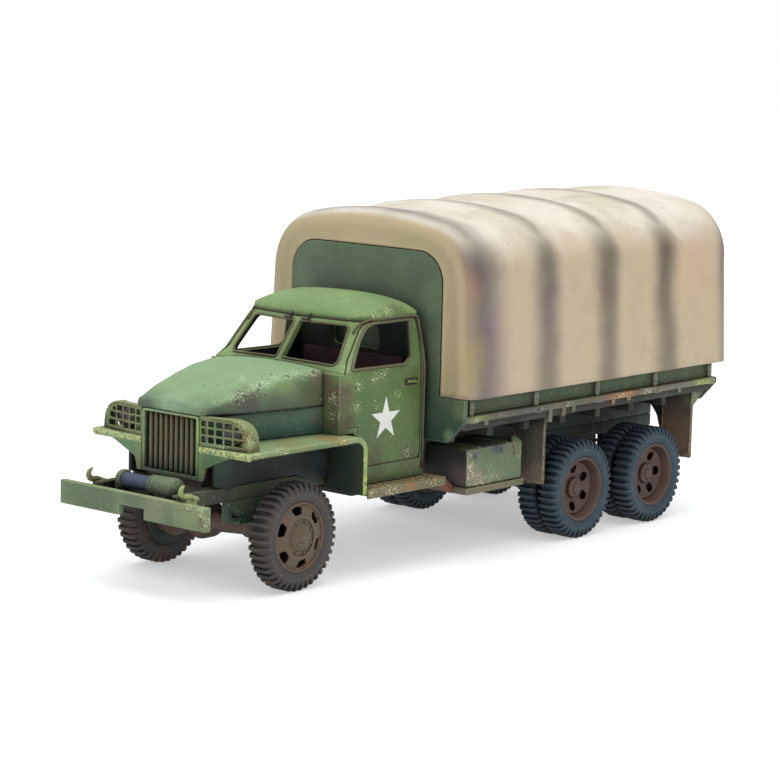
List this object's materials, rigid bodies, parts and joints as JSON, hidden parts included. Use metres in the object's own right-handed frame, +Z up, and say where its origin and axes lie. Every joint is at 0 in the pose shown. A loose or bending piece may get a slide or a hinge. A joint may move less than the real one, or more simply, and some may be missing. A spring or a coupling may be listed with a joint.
{
  "type": "scale model of a covered six-wheel-drive military cargo truck",
  "caption": "Painted 1:56 scale model of a covered cargo truck with a closed cab, front winch and twin rear wheels on turning axle stubs; stands on its wheels.",
  "frame": {"origin": "on the ground, midway between the bumper's face and the end of the cargo bed, on the centre plane", "axes": "+X forward, +Y to the truck's left, +Z up"},
  "size_m": [0.1228, 0.0448, 0.0562],
  "materials": {
    "body_green": "matte",
    "running_gear_brown": "matte",
    "step_green": "matte",
    "canopy_cloth_paint": "matte",
    "tyre_paint": "matte",
    "front_rim_paint": "matte",
    "rear_rim_paint": "matte",
    "rope_paint": "matte",
    "seat_paint": "matte",
    "dark_metal_paint": "matte",
    "lamp_paint": "satin"
  },
  "bodies": {
    "chassis": {"frame_rail_left": "body_green", "frame_rail_right": "body_green", "cross_members": "body_green", "front_bumper": "body_green", "tow_hooks": "running_gear_brown", "winch_frame": "body_green", "winch_drum": "rope_paint", "front_axle": "running_gear_brown", "middle_axle": "running_gear_brown", "rear_axle": "running_gear_brown", "front_springs": "running_gear_brown", "bogie_springs": "running_gear_brown", "engine_block": "dark_metal_paint", "transfer_case": "running_gear_brown", "propeller_shafts": "running_gear_brown", "exhaust": "running_gear_brown", "cab_shell": "body_green", "door_left": "body_green", "door_right": "body_green", "cab_roof": "body_green", "cab_floor": "body_green", "seat_bench": "seat_paint", "dashboard": "body_green", "steering_wheel": "dark_metal_paint", "hood": "body_green", "engine_side_panels": "body_green", "radiator": "dark_metal_paint", "radiator_grille": "body_green", "fender_left": "body_green", "fender_right": "body_green", "headlamps": "lamp_paint", "lamp_guards": "body_green", "running_boards": "step_green", "fuel_tank": "body_green", "stowage_box": "body_green", "box_trays": "step_green", "bed_bearers": "body_green", "bed_floor": "body_green", "bed_front_wall": "body_green", "bed_side_left": "body_green", "bed_side_right": "body_green", "tailgate": "body_green", "canopy": "canopy_cloth_paint", "mud_flaps": "body_green", "tail_lamps": "dark_metal_paint", "tow_bracket": "running_gear_brown"},
    "wheel_front_left": {"tyre_front_left": "tyre_paint", "rim_front_left": "front_rim_paint"},
    "wheel_front_right": {"tyre_front_right": "tyre_paint", "rim_front_right": "front_rim_paint"},
    "wheel_middle_left": {"tyre_middle_left": "tyre_paint", "rim_middle_left": "rear_rim_paint"},
    "wheel_middle_right": {"tyre_middle_right": "tyre_paint", "rim_middle_right": "rear_rim_paint"},
    "wheel_rear_left": {"tyre_rear_left": "tyre_paint", "rim_rear_left": "rear_rim_paint"},
    "wheel_rear_right": {"tyre_rear_right": "tyre_paint", "rim_rear_right": "rear_rim_paint"}
  },
  "joints": [
    {"name": "front_left_wheel_spin", "type": "hinge", "parent": "chassis", "child": "wheel_front_left", "pos_m": [0.0412, 0.01405, 0.0083], "axis": [0, 1, 0], "continuous": true},
    {"name": "front_right_wheel_spin", "type": "hinge", "parent": "chassis", "child": "wheel_front_right", "pos_m": [0.0412, -0.01405, 0.0083], "axis": [0, 1, 0], "continuous": true},
    {"name": "middle_left_wheel_spin", "type": "hinge", "parent": "chassis", "child": "wheel_middle_left", "pos_m": [-0.0231, 0.0167, 0.0083], "axis": [0, 1, 0], "continuous": true},
    {"name": "middle_right_wheel_spin", "type": "hinge", "parent": "chassis", "child": "wheel_middle_right", "pos_m": [-0.0231, -0.0167, 0.0083], "axis": [0, 1, 0], "continuous": true},
    {"name": "rear_left_wheel_spin", "type": "hinge", "parent": "chassis", "child": "wheel_rear_left", "pos_m": [-0.0437, 0.0167, 0.0083], "axis": [0, 1, 0], "continuous": true},
    {"name": "rear_right_wheel_spin", "type": "hinge", "parent": "chassis", "child": "wheel_rear_right", "pos_m": [-0.0437, -0.0167, 0.0083], "axis": [0, 1, 0], "continuous": true}
  ]
}
